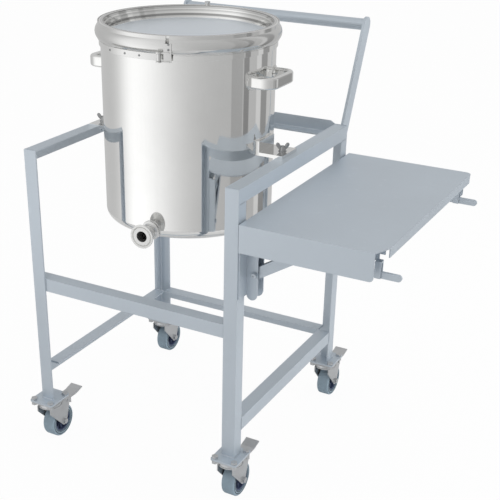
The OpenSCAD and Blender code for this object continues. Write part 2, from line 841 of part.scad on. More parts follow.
// Inverted channels under the table that straddle the brackets, with the levers' pins
module table_arms() {
    web_z = table_top_z - sheet_t - cheek_t;
    arm_x0 = table_x0 + 5;
    arm_len = table_x1 - flange_short - 5 - arm_x0;
    color(painted) for (s = [-1, 1]) side_y(s) translate([0, bracket_y, 0]) {
        translate([arm_x0, -arm_half, web_z]) cube([arm_len, 2 * arm_half, cheek_t]);
        for (k = [-1, 1]) translate([0, k * (arm_cheek_y + cheek_t / 2) + cheek_t / 2, 0])
            rotate([90, 0, 0]) linear_extrude(cheek_t) arm_cheek(arm_x0, arm_len, k > 0);
        translate([lever_x, arm_half - 1, lever_z]) rotate([-90, 0, 0]) {
            cylinder(h = lever_t + 4, r = lever_pin_r);
            translate([0, 0, lever_t + 3]) cylinder(h = 2, r = lever_pin_r + 2);
        }
        lever_guide();
    }
}

// Inverted U that keeps the lever beside the arm, open below
module lever_guide() {
    top = table_top_z - sheet_t - arm_depth;
    low = lever_z - lever_h / 2;
    slot_w = lever_t + 2;
    guide_w = 12;
    translate([guide_x, arm_half - cheek_t, low]) cube([guide_w, cheek_t, top - low + 2]);
    translate([guide_x, arm_half - 1, top - 2]) cube([guide_w, slot_w + 1 + cheek_t, 3]);
    translate([guide_x, arm_half + slot_w, low]) cube([guide_w, cheek_t, top - low + 1]);
}

// Arm's cheek in (x, z) with its ear at the fold axis; the outer one also holds the lever
module arm_cheek(arm_x0, arm_len, outer) {
    ear_r = 9;
    under = table_top_z - sheet_t - 1;
    difference() {
        union() {
            translate([arm_x0, under - arm_depth]) square([arm_len, arm_depth]);
            translate([fold_x - ear_r, fold_z]) square([2 * ear_r, under - fold_z]);
            translate([fold_x, fold_z]) circle(ear_r);
            if (outer) {
                translate([lever_x - 7, lever_z]) square([14, under - lever_z]);
                translate([lever_x, lever_z]) circle(7);
            }
        }
        translate([fold_x, fold_z]) circle(pin_d / 2 + running);
    }
}

// Strut: a channel on the lower pin, its upper end running free in the table's arm
module strut(s) {
    half = cheek_gap / 2 - 2;
    wall = cheek_t;
    color(painted) side_y(s) translate([strut_x, bracket_y, strut_z]) rotate([0, -strut_rise, 0]) {
        for (k = [-1, 1]) translate([0, k * (half - wall / 2) + wall / 2, 0])
            rotate([90, 0, 0]) linear_extrude(wall) difference() {
                union() {
                    translate([0, -strut_w / 2]) square([strut_len, strut_w]);
                    circle(d = strut_w);
                    translate([strut_len, 0]) circle(d = strut_w);
                }
                circle(pin_d / 2 + running);
            }
        translate([strut_w * 0.7, -half, -strut_w / 2])
            cube([strut_len - strut_w * 0.7, 2 * half, wall]);
        translate([strut_len, 0, 0]) rotate([90, 0, 0])
            cylinder(h = 2 * half - wall, d = pin_d, center = true);
    }
}

// Release lever: a flat bar on a pin outside the arm, reaching past the table's edge
module release_lever(s) {
    out = table_x1 + lever_out - lever_h / 2;
    color(painted) side_y(s) translate([0, bracket_y + arm_half + 1 + lever_t, 0])
        rotate([90, 0, 0]) linear_extrude(lever_t) difference() {
            union() {
                translate([lever_x, lever_z - lever_h / 2]) square([out - lever_x, lever_h]);
                translate([out, lever_z]) circle(d = lever_h);
                translate([lever_x, lever_z]) circle(d = lever_h);
            }
            translate([lever_x, lever_z]) circle(lever_pin_r + running);
        }
}

leg(-1, -1);  // leg_front_left
leg(1, -1);  // leg_front_right
leg(-1, 1);  // leg_rear_left
leg(1, 1);  // leg_rear_right
top_rail(-1);  // top_rail_left
top_rail(1);  // top_rail_right
top_rail_rear();
front_crossbar();
lower_rail(-1);  // lower_rail_left
lower_rail(1);  // lower_rail_right
lower_rail_rear();
caster_pads();
caster_plates();
caster_bolts();
handle_arms();
handle_grip();
rail_bosses();
folding_brackets();
table_top();
table_arms();
strut(-1);  // strut_front
strut(1);  // strut_rear
release_lever(-1);  // release_lever_front
release_lever(1);  // release_lever_rear
tank_wall();
tank_bottom();
tank_rim();
outlet_ferrule();
carry_handles();
lugs();
wing_bolts();
lid();
lid_gasket();
clamp_band();
latch_block();
latch_lever();
fork(-1, -1);  // fork_front_left
fork(1, -1);  // fork_front_right
fork(-1, 1);  // fork_rear_left
fork(1, 1);  // fork_rear_right
pedal(-1, -1);  // pedal_front_left
pedal(1, -1);  // pedal_front_right
pedal(-1, 1);  // pedal_rear_left
pedal(1, 1);  // pedal_rear_right
tyre(-1, -1);  // tyre_front_left
tyre(1, -1);  // tyre_front_right
tyre(-1, 1);  // tyre_rear_left
tyre(1, 1);  // tyre_rear_right
hub(-1, -1);  // hub_front_left
hub(1, -1);  // hub_front_right
hub(-1, 1);  // hub_rear_left
hub(1, 1);  // hub_rear_right
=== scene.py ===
"""Finishes and fine details of a clamp-lid container in its wheeled stand."""

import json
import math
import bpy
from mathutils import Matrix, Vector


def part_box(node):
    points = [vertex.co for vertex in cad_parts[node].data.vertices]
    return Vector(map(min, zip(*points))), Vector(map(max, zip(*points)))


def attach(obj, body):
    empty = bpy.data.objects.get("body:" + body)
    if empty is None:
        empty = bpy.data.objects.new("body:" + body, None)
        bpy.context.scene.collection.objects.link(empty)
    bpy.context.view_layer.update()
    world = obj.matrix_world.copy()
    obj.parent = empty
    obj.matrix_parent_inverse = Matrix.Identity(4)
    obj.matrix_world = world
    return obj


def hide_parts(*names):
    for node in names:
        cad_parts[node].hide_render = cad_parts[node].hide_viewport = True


bl_info = {
    "name": "Clamp-lid container in a wheeled stand",
    "version": (1, 0, 0),
    "blender": (4, 5, 0),
    "location": "View3D > Sidebar > Container",
    "description": "Adds welds, fasteners, finishes and a studio to the container and its stand",
    "category": "Object",
}

import bmesh
import bpy
import numpy as np
from bpy.props import FloatProperty, FloatVectorProperty, IntProperty, PointerProperty
from mathutils import Matrix, Vector

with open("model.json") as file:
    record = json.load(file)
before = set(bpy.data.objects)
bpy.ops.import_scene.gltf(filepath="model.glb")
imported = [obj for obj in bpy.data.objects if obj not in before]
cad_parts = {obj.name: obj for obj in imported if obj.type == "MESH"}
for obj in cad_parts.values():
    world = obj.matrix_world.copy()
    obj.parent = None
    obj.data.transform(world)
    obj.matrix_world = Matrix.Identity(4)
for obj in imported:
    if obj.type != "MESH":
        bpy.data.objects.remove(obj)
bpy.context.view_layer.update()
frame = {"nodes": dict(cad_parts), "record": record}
TAU = 2 * math.pi


def middle(node):
    """Middle of a CAD node's box, in metres."""
    low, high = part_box(node)
    return (np.array(low) + np.array(high)) / 2


# Places that the pieces share, read from the frame
TANK = middle("tank_wall")
TANK_R = (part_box("tank_wall")[1][0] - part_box("tank_wall")[0][0]) / 2
TANK_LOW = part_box("tank_bottom")[0][2]
RAIL_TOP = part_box("top_rail_right")[1][2]
LEG_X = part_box("leg_front_right")[1][0]
LEG_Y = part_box("leg_rear_right")[1][1]
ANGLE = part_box("leg_front_right")[1][0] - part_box("leg_front_right")[0][0]

# Places that the frame's boxes don't give, in metres and degrees
KNUCKLE = 0.020
ARM_FOOT = 0.028
LUG = 0.007
OUTLET_BEARING = -85
OUTLET_FOOT = 0.0201
OUTLET_FACE = 0.2235
LID_FLOOR_R = 0.163
WING_BEARING = 30
BRACKET_Y = 0.212
FOLD_PIN = (0.283, 0.606)
STRUT_PIN = (0.273, 0.526)
PIN_HALF = 0.0185
CORNER = {"fl": "front_left", "fr": "front_right", "rl": "rear_left", "rr": "rear_right"}


# ---- sizes and colours a user would change


class FinishSettings(bpy.types.PropertyGroup):
    """Colours and roughness of the finishes"""

    stand_colour: FloatVectorProperty(
        name="Stand", description="Colour of the satin stand", subtype="COLOR",
        size=3, min=0, max=1, default=(0.56, 0.62, 0.68))
    stand_roughness: FloatProperty(
        name="Stand roughness", description="Roughness of the satin stand",
        subtype="FACTOR", min=0, max=1, default=0.42)
    mirror_colour: FloatVectorProperty(
        name="Container", description="Colour of the polished container",
        subtype="COLOR", size=3, min=0, max=1, default=(0.86, 0.86, 0.85))
    mirror_roughness: FloatProperty(
        name="Polish", description="Roughness of the polished container",
        subtype="FACTOR", min=0, max=1, default=0.055)
    lid_colour: FloatVectorProperty(
        name="Lid", description="Colour of the satin lid", subtype="COLOR",
        size=3, min=0, max=1, default=(0.80, 0.85, 0.90))
    tyre_colour: FloatVectorProperty(
        name="Tyres", description="Colour of the tyres", subtype="COLOR",
        size=3, min=0, max=1, default=(0.30, 0.39, 0.46))
    hub_colour: FloatVectorProperty(
        name="Hubs", description="Colour of the wheel hubs", subtype="COLOR",
        size=3, min=0, max=1, default=(0.06, 0.08, 0.15))
    zinc_colour: FloatVectorProperty(
        name="Casters", description="Colour of the pressed caster parts",
        subtype="COLOR", size=3, min=0, max=1, default=(0.60, 0.61, 0.62))


class DetailSettings(bpy.types.PropertyGroup):
    """Sizes of the welds and fasteners"""

    weld_radius: FloatProperty(
        name="Weld radius", description="Radius of the weld beads", unit="LENGTH",
        min=0.0005, max=0.004, default=0.0018)
    ripple_pitch: FloatProperty(
        name="Ripple pitch", description="Distance between the ripples of a bead",
        unit="LENGTH", min=0.001, max=0.01, default=0.0032)
    rib_count: IntProperty(
        name="Hub ribs", description="Number of ribs in each hub", min=3, max=16,
        default=8)


class StudioSettings(bpy.types.PropertyGroup):
    """Light and background"""

    light_level: FloatProperty(
        name="Light", description="Strength of the surrounding light",
        min=0.1, max=3, default=0.64)
    key_power: FloatProperty(
        name="Side lamp", description="Power of the soft lamp on the table side", unit="POWER",
        min=0, max=500, default=50)
    floor_colour: FloatVectorProperty(
        name="Floor", description="Colour of the floor", subtype="COLOR",
        size=3, min=0, max=1, default=(0.86, 0.86, 0.86))


# ---- shader maths


class Value:
    """A socket that takes part in expressions; each operator adds one Math node."""

    def __init__(self, tree, socket):
        self.tree = tree
        self.socket = socket

    def math(self, operation, *others, clamp=False):
        node = self.tree.nodes.new("ShaderNodeMath")
        node.operation = operation
        node.use_clamp = clamp
        for slot, item in zip(node.inputs, (self,) + others):
            plug(self.tree, slot, item)
        return Value(self.tree, node.outputs[0])

    def __add__(self, other):
        return self.math("ADD", other)

    __radd__ = __add__

    def __mul__(self, other):
        return self.math("MULTIPLY", other)

    __rmul__ = __mul__

    def __sub__(self, other):
        return self.math("SUBTRACT", other)

    def __rsub__(self, other):
        return (self * -1.0) + other

    def __truediv__(self, other):
        return self.math("DIVIDE", other)

    def __pow__(self, other):
        return self.math("POWER", other)


def plug(tree, slot, item):
    """Links a socket, or sets a plain value."""
    if isinstance(item, Value):
        tree.links.new(item.socket, slot)
    else:
        slot.default_value = item


class Finish:
    """One procedural material and its node tree."""

    def __init__(self, name, **constants):
        self.material = bpy.data.materials.new(name)
        self.material.use_nodes = True
        self.tree = self.material.node_tree
        self.shader = self.tree.nodes["Principled BSDF"]
        for key, item in constants.items():
            self.set(key.replace("_", " "), item)

    def set(self, socket_name, item):
        plug(self.tree, self.shader.inputs[socket_name], item)

    def node(self, kind, settings=None, output=0, **sockets):
        """Adds a node of any kind: its settings first, then values or links."""
        made = self.tree.nodes.new("ShaderNode" + kind)
        stops = None
        for key, item in (settings or {}).items():
            if key == "stops":
                stops = item
            else:
                setattr(made, key, item)
        if stops:
            ramp = made.color_ramp.elements
            while len(ramp) < len(stops):
                ramp.new(0.5)
            for stop, (place, colour) in zip(ramp, stops):
                stop.position = place
                stop.color = colour
        for key, item in sockets.items():
            plug(self.tree, made.inputs[key.replace("_", " ")], item)
        return Value(self.tree, made.outputs[output])

    def place(self, shift=(0, 0, 0), scale=(1, 1, 1)):
        """Object coordinates, shifted and scaled."""
        coords = self.node("TexCoord", output=3)
        return self.node("Mapping", Vector=coords, Location=shift, Scale=scale)

    def parts(self, vector):
        """The x, y and z of a vector."""
        made = self.tree.nodes.new("ShaderNodeSeparateXYZ")
        plug(self.tree, made.inputs[0], vector)
        return [Value(self.tree, made.outputs[i]) for i in range(3)]

    def noise(self, scale, detail=3.0, roughness=0.5, vector=None):
        return self.node("TexNoise", Vector=vector or self.place(), Scale=scale,
                         Detail=detail, Roughness=roughness)

    def ramp(self, value, *stops):
        """A grey ramp through (place, level) stops."""
        listed = [(place, (level, level, level, 1)) for place, level in stops]
        return self.node("ValToRGB", {"stops": listed}, Fac=value)

    def blend(self, factor, first, second):
        """Mix of two colours."""
        made = self.tree.nodes.new("ShaderNodeMix")
        made.data_type = "RGBA"
        plug(self.tree, made.inputs["Factor"], factor)
        for slot, item in ((6, first), (7, second)):
            plug(self.tree, made.inputs[slot], item if isinstance(item, Value) else (*item, 1))
        return Value(self.tree, made.outputs[2])

    def bump(self, height, strength, distance=0.001, edge=0.0006):
        """Bump over softly rounded edges."""
        rounded = self.node("Bevel", {"samples": 4}, Radius=edge)
        self.set("Normal", self.node("Bump", Height=height, Strength=strength,
                                     Distance=distance, Normal=rounded))


def shade(colour, factor):
    """A colour made lighter or darker."""
    return tuple(min(1.0, c * factor) for c in colour)


def satin_steel(name, colour, roughness):
    """Bead-blasted steel: a fine even grain, faint cloudiness and a few rubbed places."""
    made = Finish(name, Metallic=0.55)
    cloud = made.noise(7.0, 4.0, 0.6)
    grain = made.noise(900.0, 2.0)
    rubbed = made.ramp(made.noise(38.0, 6.0, 0.65), (0.60, 0.0), (0.72, 1.0))
    tone = made.blend(cloud, shade(colour, 0.95), shade(colour, 1.05))
    made.set("Base Color", made.blend(rubbed * 0.25, tone, shade(colour, 1.12)))
    made.set("Roughness", cloud * 0.10 + (roughness - 0.05) - rubbed * 0.06)
    made.bump(grain * 0.6 + cloud * 0.4, 0.10, 0.0006)
    return made.material


def mirror_steel(name, colour, roughness):
    """Buffed steel: faint upright buffing lines, finger haze and a very slight waviness."""
    made = Finish(name, Metallic=1.0)
    lines = made.noise(60.0, 3.0, vector=made.place(scale=(6, 6, 0.4)))
    haze = made.ramp(made.noise(9.0, 5.0, 0.6), (0.45, 0.0), (0.75, 1.0))
    wave = made.noise(5.0, 1.0, vector=made.place(scale=(1, 1, 0.5)))
    made.set("Base Color", made.blend(haze, colour, shade(colour, 0.96)))
    made.set("Roughness", lines * 0.04 + haze * 0.05 + (roughness - 0.03))
    made.bump(wave + lines * 0.02, 0.02, 0.004)
    return made.material


def spun_steel(name, colour, centre, edge, bright):
    """Satin disc with rings left by the lathe; past the edge radius it is polished, with
    painted brighter and darker streaks round it, which stand in for reflections and for shade in
    its steps."""
    made = Finish(name, Metallic=0.95)
    x, y, height = made.parts(made.place(shift=(-centre[0], -centre[1], 0)))
    radius = (x * x + y * y) ** 0.5
    outside = (radius - (edge - 0.0004)).math("MULTIPLY", 2500.0, clamp=True)
    rings = made.node("TexNoise", {"noise_dimensions": "1D"}, W=radius, Scale=900.0,
                      Detail=2.0)
    cloud = made.noise(6.0, 4.0, 0.6)
    satin = made.blend(cloud, shade(colour, 0.96), shade(colour, 1.05))
    # painted reflection and painted shade: lighter and darker streaks on the polished rim's
    # colour
    painted_light_streak = made.ramp(made.node("TexNoise", {"noise_dimensions": "1D"}, W=height + radius,
                                 Scale=120.0, Detail=1.0), (0.40, 0.0), (0.60, 1.0))
    polished_rim_painted = made.blend(painted_light_streak, shade(bright, 0.42), bright)
    made.set("Base Color", made.blend(outside, satin, polished_rim_painted))
    dull = rings * 0.08 + cloud * 0.06 + 0.36
    made.set("Roughness", dull - outside * (dull - 0.09))
    made.bump(rings, 0.08, 0.0006)
    return made.material


def cast_steel(name, colour, roughness):
    """Bright casting or pressing with a slight orange-peel skin."""
    made = Finish(name, Metallic=0.9)
    skin = made.noise(260.0, 3.0)
    cloud = made.noise(30.0, 5.0, 0.6)
    made.set("Base Color", made.blend(cloud, shade(colour, 0.86), shade(colour, 1.08)))
    made.set("Roughness", cloud * 0.16 + (roughness - 0.08))
    made.bump(skin, 0.16, 0.0006)
    return made.material


def weld_steel(name, colour):
    """Weld metal with a cloudy tone, from a little darker to a little lighter than its colour."""
    made = Finish(name, Metallic=0.85)
    cloud = made.noise(120.0, 4.0, 0.6)
    made.set("Base Color", made.blend(cloud, shade(colour, 0.80), shade(colour, 1.05)))
    made.set("Roughness", cloud * 0.2 + 0.28)
    made.bump(made.noise(500.0, 3.0), 0.2, 0.0005)
    return made.material


def tyre_rubber(name, colour):
    """Grey elastomer, dusty on the tread, with a fine moulded grain."""
    made = Finish(name, Specular_IOR_Level=0.35)
    dust = made.ramp(made.noise(45.0, 6.0, 0.7), (0.42, 0.0), (0.70, 1.0))
    made.set("Base Color", made.blend(dust * 0.5, colour, shade(colour, 1.35)))
    made.set("Roughness", dust * 0.18 + 0.52)
    made.bump(made.noise(420.0, 3.0), 0.14, 0.0006)
    return made.material


def moulded_plastic(name, colour):
    """Moulded plastic with a fine spark-eroded grain."""
    made = Finish(name, Specular_IOR_Level=0.45)
    grain = made.noise(650.0, 2.0)
    cloud = made.noise(25.0, 3.0)
    made.set("Base Color", made.blend(cloud, shade(colour, 0.85), shade(colour, 1.2)))
    made.set("Roughness", grain * 0.12 + 0.34)
    made.bump(grain, 0.12, 0.0005)
    return made.material


def seal_rubber(name, colour):
    """Smooth white elastomer."""
    made = Finish(name, Specular_IOR_Level=0.4)
    cloud = made.noise(40.0, 3.0)
    made.set("Base Color", made.blend(cloud, shade(colour, 0.94), colour))
    made.set("Roughness", cloud * 0.1 + 0.42)
    made.bump(made.noise(300.0, 2.0), 0.05, 0.0005)
    return made.material


# ---- surfaces


def surface(points, close_u=False, close_v=True, caps=False):
    """Vertices and faces of a grid of points (rows, columns, 3).

    Faces join row i to i + 1 and column j to j + 1. close_u joins the last row to
    the first, close_v the last column to the first, and caps fills both end rows.
    """
    rows, cols = points.shape[:2]
    i = np.arange(rows if close_u else rows - 1)
    j = np.arange(cols if close_v else cols - 1)
    i, j = (a.ravel() for a in np.meshgrid(i, j, indexing="ij"))
    next_i, next_j = (i + 1) % rows, (j + 1) % cols
    faces = np.stack([i * cols + j, i * cols + next_j, next_i * cols + next_j,
                      next_i * cols + j], axis=1).tolist()
    if caps:
        faces.append(list(range(cols))[::-1])
        faces.append(list(range((rows - 1) * cols, rows * cols)))
    return points.reshape(-1, 3), faces


def unit(vector):
    vector = np.asarray(vector, float)
    return vector / np.linalg.norm(vector, axis=-1, keepdims=True)


def across(axis):
    """Two unit vectors square to an axis and to each other."""
    axis = unit(axis)
    helper = np.array([0.0, 0.0, 1.0]) if abs(axis[2]) < 0.9 else np.array([1.0, 0.0, 0.0])
    first = unit(np.cross(helper, axis))
    return first, np.cross(axis, first)


def revolve(profile, origin, axis, count=48):
    """Surface of revolution: point = origin + h * axis + r * (cos t, sin t).

    profile is a closed run of (r, h).
    """
    profile = np.asarray(profile, float)
    axis = unit(axis)
    first, second = across(axis)
    t = np.linspace(0, TAU, count, endpoint=False)
    ring = np.cos(t)[:, None] * first + np.sin(t)[:, None] * second
    points = (np.asarray(origin, float) + profile[:, 1, None, None] * axis
              + profile[:, 0, None, None] * ring)
    return surface(points, close_u=True)


def disc(origin, axis, radius, height, edge=0.25):
    """Round washer or boss with a rounded upper edge, edge being part of the height."""
    turn = np.linspace(0, math.pi / 2, 5)
    round_r = height * edge
    rim = np.stack([radius - round_r + round_r * np.cos(turn),
                    height - round_r + round_r * np.sin(turn)], axis=1)
    profile = np.concatenate([[(1e-5, 0), (radius, 0)], rim, [(1e-5, height)]])
    return revolve(profile, origin, axis)


def carry(path, radius, closed=False, sides=10, flat=None):
    """Tube round a path: each point gets a ring of that radius (one, or one per
    point) square to the path; flat scales the ring along the second direction."""
    path = np.asarray(path, float)
    if closed:
        tangent = np.roll(path, -1, axis=0) - np.roll(path, 1, axis=0)
    else:
        tangent = np.gradient(path, axis=0)
    tangent = unit(tangent)
    helper = np.where(np.abs(tangent[:, 2:3]) < 0.9, [[0, 0, 1.0]], [[1.0, 0, 0]])
    first = unit(np.cross(helper, tangent))
    second = np.cross(tangent, first)
    t = np.linspace(0, TAU, sides, endpoint=False)
    radius = np.broadcast_to(radius, (len(path),))[:, None, None]
    ring = (np.cos(t)[None, :, None] * first[:, None, :]
            + np.sin(t)[None, :, None] * second[:, None, :] * (flat or 1.0))
    return surface(path[:, None, :] + radius * ring, close_u=closed, caps=not closed)


def weld(path, settings, closed=False, size=1.0):
    """Weld bead: a tube whose radius swells and shrinks along its length as
    r * (1 + 0.16 * |sin(pi * s / pitch)|), s being the length so far, and tapers at
    open ends with the square root of the distance to the end."""
    path = np.asarray(path, float)
    if closed:
        path = np.concatenate([path, path[:1]])
    step = np.linalg.norm(np.diff(path, axis=0), axis=1)
    length = np.concatenate([[0], np.cumsum(step)])
    count = max(8, int(length[-1] / settings.ripple_pitch * 4))
    s = np.linspace(0, length[-1], count, endpoint=not closed)
    line = np.stack([np.interp(s, length, path[:, k]) for k in range(3)], axis=1)
    radius = settings.weld_radius * size * (
        1 + 0.16 * np.abs(np.sin(math.pi * s / settings.ripple_pitch)))
    if not closed:
        near = np.minimum(s, length[-1] - s) / (2 * settings.weld_radius)
        radius = radius * np.sqrt(np.clip(near, 0.04, 1))
    return carry(line, radius, closed=closed)


def arc(centre, radius, start, stop, count=48):
    """Level arc round a centre, from one bearing to the other in degrees."""
    t = np.radians(np.linspace(start, stop, count))
    return np.stack([centre[0] + radius * np.cos(t), centre[1] + radius * np.sin(t),
                     np.full(count, centre[2])], axis=1)


def lay(name, parts, body, finish, angle=38.0):
    """One object from several (vertices, faces) pairs, riding on a body."""
    vertices, faces, start = [], [], 0
    for points, polygons in parts:
        vertices.append(points)
        faces += [[k + start for k in polygon] for polygon in polygons]
        start += len(points)
    mesh = bpy.data.meshes.new(name)
    mesh.from_pydata(np.concatenate(vertices).tolist(), [], faces)
    form = bmesh.new()
    form.from_mesh(mesh)
    bmesh.ops.remove_doubles(form, verts=form.verts, dist=2e-5)
    bmesh.ops.recalc_face_normals(form, faces=form.faces)
    form.to_mesh(mesh)
    form.free()
    mesh.shade_smooth()
    mesh.set_sharp_from_angle(angle=math.radians(angle))
    mesh.materials.append(finish)
    made = bpy.data.objects.new(name, mesh)
    bpy.context.scene.collection.objects.link(made)
    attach(made, body)
    return made


def dress(node, finish):
    """Gives a CAD node its finish."""
    made = frame["nodes"][node]
    made.data.materials.clear()
    made.data.materials.append(finish)


def finish_of(name):
    """A finish that an earlier operator made."""
    made = bpy.data.materials.get(name)
    if made is None:
        raise RuntimeError("run the finishes operator first: " + name)
    return made


# ---- operators


class Step:
    """What the operators share."""

    bl_options = {"REGISTER", "UNDO"}

    def execute(self, context):
        self.make(context.scene.container_finish, context.scene.container_detail,
                  context.scene.container_studio)
        return {"FINISHED"}


class CONTAINER_OT_finishes(Step, bpy.types.Operator):
    """Makes the finishes and gives them to the frame's own nodes"""

    bl_idname = "container.finishes"
    bl_label = "Finishes"

    def make(self, finish, detail, studio):
        satin = satin_steel("satin_stand", tuple(finish.stand_colour),
                            finish.stand_roughness)
        mirror = mirror_steel("mirror_shell", tuple(finish.mirror_colour),
                              finish.mirror_roughness)
        band = mirror_steel("polished_band", shade(finish.mirror_colour, 0.86),
                            finish.mirror_roughness + 0.07)
        lid = spun_steel("spun_lid", tuple(finish.lid_colour), TANK, LID_FLOOR_R,
                         tuple(finish.mirror_colour))
        zinc = cast_steel("zinc_casters", tuple(finish.zinc_colour), 0.34)
        bolts = cast_steel("cast_bolts", shade(finish.zinc_colour, 0.62), 0.20)
        turned = cast_steel("turned_outlet", shade(finish.mirror_colour, 0.84), 0.24)
        # painted shade: tyre rubber at 0.30 of its colour for the tyre rings, standing in for
        # shade in the tyres' grooves
        tyre_rubber("painted_groove_shade", shade(finish.tyre_colour, 0.30))
        weld_steel("weld_satin", shade(finish.stand_colour, 0.95))
        weld_steel("weld_bright", shade(finish.mirror_colour, 0.80))
        tyre = tyre_rubber("tyre_rubber", tuple(finish.tyre_colour))
        hub = moulded_plastic("hub_plastic", tuple(finish.hub_colour))
        seal = seal_rubber("seal_rubber", (0.80, 0.80, 0.77))
        by_slot = {"frame": satin, "table": satin, "polished": mirror, "band": band,
                   "lid_satin": lid, "bolts": bolts, "gasket": seal, "zinc": zinc,
                   "tyre": tyre, "hub": hub}
        own = {"caster_bolts": zinc, "outlet_ferrule": turned}
        for part in frame["record"]["subparts"]:
            node = part["node"]
            dress(node, own.get(node, by_slot[part["material_slot"]]))


class CONTAINER_OT_stand_welds(Step, bpy.types.Operator):
    """Weld beads where the stand's angle bars and pads meet"""

    bl_idname = "container.stand_welds"
    bl_label = "Stand welds"

    def make(self, finish, detail, studio):
        beads = []
        low_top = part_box("lower_rail_right")[1][2]
        bar_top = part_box("front_crossbar")[1][2]
        pad_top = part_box("caster_pads")[1][2]
        wall = 0.003
        for sx in (-1, 1):
            x = sx * LEG_X
            for sy in (-1, 1):
                y = sy * LEG_Y
                foot = [(x, y - sy * ANGLE, pad_top), (x, y, pad_top),
                        (x - sx * ANGLE, y, pad_top)]
                beads.append(weld(foot, detail))
                end = y - sy * ANGLE
                beads.append(weld([(x, end, low_top), (x, end, low_top - ANGLE)], detail,
                                  size=0.7))
                beads.append(weld([(x - sx * wall, end, low_top),
                                   (x - sx * ANGLE, end, low_top)], detail, size=0.8))
                beads.append(weld([(x, y - sy * ANGLE, RAIL_TOP - ANGLE),
                                   (x, y - sy * wall, RAIL_TOP - ANGLE)], detail, size=0.6))
                beads.append(weld([(x, y - sy * wall, RAIL_TOP),
                                   (x - sx * ANGLE, y - sy * wall, RAIL_TOP)], detail,
                                  size=0.5))
            edge = x - sx * ANGLE
            beads.append(weld([(edge, -LEG_Y + wall, bar_top),
                               (edge, -LEG_Y + wall, bar_top - ANGLE)], detail))
            beads.append(weld([(edge, LEG_Y, low_top), (edge, LEG_Y, low_top - ANGLE)],
                              detail, size=0.7))
        lay("stand_welds", beads, "stand", finish_of("weld_satin"))


class CONTAINER_OT_handle_welds(Step, bpy.types.Operator):
    """Weld beads at the push handle's feet and round its grip"""

    bl_idname = "container.handle_welds"
    bl_label = "Handle welds"

    def make(self, finish, detail, studio):
        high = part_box("handle_grip")[1]
        foot_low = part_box("handle_arms")[0][2]
        foot_high = RAIL_TOP - ARM_FOOT
        grip = middle("handle_grip")
        grip_r = (high[2] - grip[2])
        inner = high[0]
        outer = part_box("handle_arms")[1][0]
        beads = []
        for side in (-1, 1):
            for x in (inner, outer):
                beads.append(weld([(side * x, LEG_Y, foot_low + 0.002),
                                   (side * x, LEG_Y, foot_high - 0.002)], detail, size=0.9))
            t = np.linspace(0, TAU, 40, endpoint=False)
            ring = np.stack([np.full(40, side * inner), grip[1] + grip_r * np.cos(t),
                             grip[2] + grip_r * np.sin(t)], axis=1)
            beads.append(weld(ring, detail, closed=True, size=0.8))
        lay("handle_welds", beads, "stand", finish_of("weld_satin"))


def shell_radius(z):
    """Outer radius of the container at a height: full above the knuckle, and
    flat part + sqrt(knuckle^2 - depth^2) within it."""
    depth = np.clip(TANK_LOW + KNUCKLE - z, 0, KNUCKLE)
    return TANK_R - KNUCKLE + np.sqrt(np.maximum(KNUCKLE ** 2 - depth ** 2, 0))


def on_shell(bearing, height, radius, count=56):
    """A circle of some radius laid on the shell: the offset along the shell becomes
    an angle by dividing it by the shell's radius."""
    t = np.linspace(0, TAU, count, endpoint=False)
    z = height + radius * np.sin(t)
    r = shell_radius(z)
    angle = math.radians(bearing) + radius * np.cos(t) / TANK_R
    return np.stack([TANK[0] + r * np.cos(angle), TANK[1] + r * np.sin(angle), z], axis=1)


class CONTAINER_OT_tank_welds(Step, bpy.types.Operator):
    """Fine weld beads where handles, lugs and outlet join the shell"""

    bl_idname = "container.tank_welds"
    bl_label = "Container welds"

    def make(self, finish, detail, studio):
        beads = []
        bow = middle("carry_handles")
        disc_r = (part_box("carry_handles")[1][2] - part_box("carry_handles")[0][2]) / 2
        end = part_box("carry_handles")[1][1] - TANK[1]
        spread = math.degrees(math.asin((end - disc_r) / TANK_R))
        for side in (0, 180):
            for k in (-spread, spread):
                beads.append(weld(on_shell(side + k, bow[2], disc_r), detail, closed=True,
                                  size=0.45))
        low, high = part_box("lugs")
        half = (high[1] - low[1]) / 2
        turn = math.degrees(math.asin(half / TANK_R))
        for side in (0, 180):
            beads.append(weld(arc((TANK[0], TANK[1], high[2]), TANK_R, side - turn,
                                  side + turn), detail, size=0.5))
            for k in (-turn, turn):
                t = math.radians(side + k)
                x = TANK[0] + TANK_R * math.cos(t)
                y = TANK[1] + TANK_R * math.sin(t)
                beads.append(weld([(x, y, low[2]), (x, y, high[2])], detail, size=0.5))
        outlet = middle("outlet_ferrule")
        beads.append(weld(on_shell(OUTLET_BEARING, outlet[2], OUTLET_FOOT), detail,
                          closed=True, size=0.5))
        lay("tank_welds", beads, "container", finish_of("weld_bright"))


class CONTAINER_OT_outlet_seal(Step, bpy.types.Operator):
    """Seal ring in the outlet's clamp flange"""

    bl_idname = "container.outlet_seal"
    bl_label = "Outlet seal"

    def make(self, finish, detail, studio):
        t = math.radians(OUTLET_BEARING)
        out = np.array([math.cos(t), math.sin(t), 0])
        face = OUTLET_FACE
        centre = np.array([TANK[0], TANK[1], middle("outlet_ferrule")[2]]) + out * (face - 0.0004)
        turn = np.linspace(0, TAU, 16, endpoint=False)
        ring_r, wire = 0.0202, 0.0011
        profile = np.stack([ring_r + wire * np.cos(turn), wire * np.sin(turn)], axis=1)
        lay("outlet_seal", [revolve(profile, centre, out, 64)], "container",
            finish_of("seal_rubber"))


